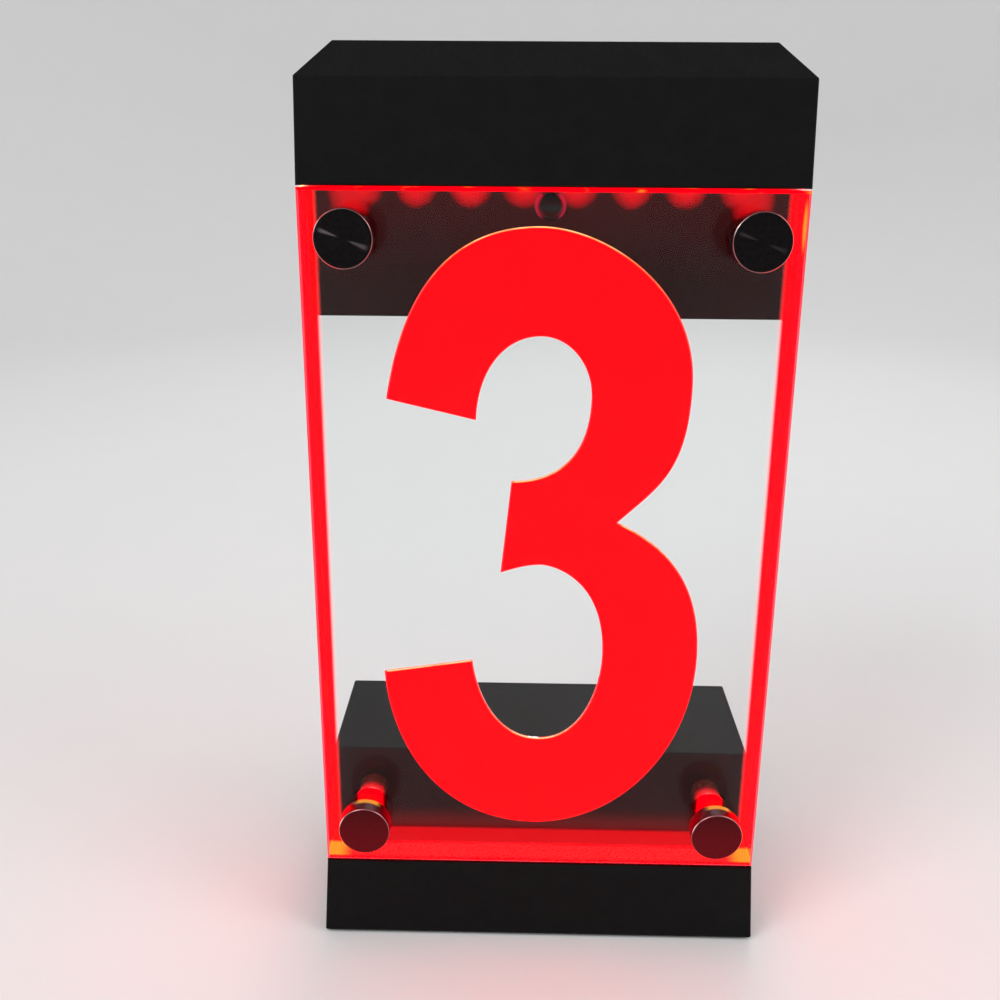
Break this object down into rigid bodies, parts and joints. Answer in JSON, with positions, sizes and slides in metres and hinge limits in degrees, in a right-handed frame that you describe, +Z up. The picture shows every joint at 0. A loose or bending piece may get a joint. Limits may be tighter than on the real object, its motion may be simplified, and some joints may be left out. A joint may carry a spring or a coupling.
{
  "type": "illuminated house number sign",
  "caption": "Free-standing house number sign: an edge-lit clear plate with a frosted numeral between a base and a battery top housing.",
  "frame": {"origin": "middle of the box round the sign, on the ground under its feet", "axes": "+Z up, the numeral's front faces -Y, +X to the viewer's right"},
  "size_m": [0.153, 0.0888, 0.3005],
  "materials": {
    "clear_acrylic": "polished, clear",
    "red_frosted_inlay": "frosted, red, lit from the plate's edge",
    "clear_silicone": "milky, soft",
    "clear_sleeve": "clear tube",
    "dark_turned_metal": "dark, turned face, polished rim",
    "steel": "plain",
    "spacer_metal": "turned",
    "screw_steel": "zinc-black",
    "black_housing": "fine matte moulding",
    "black_cover": "matte",
    "black_door": "fine matte moulding",
    "black_button": "satin",
    "rubber": "matte",
    "clear_window": "clear",
    "aluminium": "mill finish",
    "white_board": "white solder mask",
    "green_board": "green solder mask",
    "led_package": "lit red to amber",
    "clear_dome": "clear",
    "sensor_black": "dark",
    "chip_black": "moulded",
    "white_connector": "moulded",
    "cell_wrap": "shrink sleeve",
    "red_lead": "insulation",
    "grey_lead": "insulation"
  },
  "bodies": {
    "sign": {"numeral_inlay": "red_frosted_inlay", "acrylic_plate": "clear_acrylic", "plate_rest_pad": "clear_silicone", "standoff_caps": "dark_turned_metal", "cap_washers": "clear_silicone", "stud_sleeves": "clear_sleeve", "standoff_studs": "steel", "spacer_washers": "clear_silicone", "standoff_spacers": "spacer_metal", "nut_washers": "steel", "stud_nuts": "steel", "base_shell": "black_housing", "base_cover": "black_cover", "base_cover_screws": "screw_steel", "ballast_block": "steel", "ballast_screws": "screw_steel", "rubber_feet": "rubber", "top_shell": "black_housing", "underside_cover": "black_cover", "underside_screws": "screw_steel", "holder_screws": "screw_steel", "light_window": "clear_window", "led_carrier": "aluminium", "carrier_screws": "screw_steel", "led_board": "white_board", "leds": "led_package", "sensor_dome": "clear_dome", "sensor_ring": "black_cover", "sensor_element": "sensor_black", "sensor_board": "green_board", "sensor_screws": "screw_steel", "control_board": "green_board", "control_chips": "chip_black", "power_inductor": "chip_black", "capacitors": "aluminium", "usb_port": "steel", "tact_switch": "chip_black", "board_screws": "screw_steel", "lead_connectors": "white_connector", "flap_pin": "steel", "battery_holder": "chip_black", "battery_cells": "cell_wrap", "battery_contacts": "steel", "door_pin": "steel", "door_gasket": "rubber", "led_lead": "red_lead", "sensor_lead": "grey_lead", "battery_lead": "red_lead"},
    "battery_door": {"battery_door": "black_door"},
    "port_flap": {"port_flap": "black_door"},
    "power_button": {"power_button": "black_button", "switch_plunger": "black_button"}
  },
  "joints": [
    {"name": "battery_door_hinge", "type": "hinge", "parent": "sign", "child": "battery_door", "pos_m": [0, 0.04285, 0.2243], "axis": [-1, 0, 0], "range_deg": [0, 95]},
    {"name": "port_flap_hinge", "type": "hinge", "parent": "sign", "child": "port_flap", "pos_m": [0.02, 0.04285, 0.2836], "axis": [1, 0, 0], "range_deg": [0, 95]},
    {"name": "power_button_press", "type": "slide", "parent": "sign", "child": "power_button", "axis": [0, -1, 0], "range_m": [0, 0.0008], "stiffness_N_per_m": 3000}
  ]
}
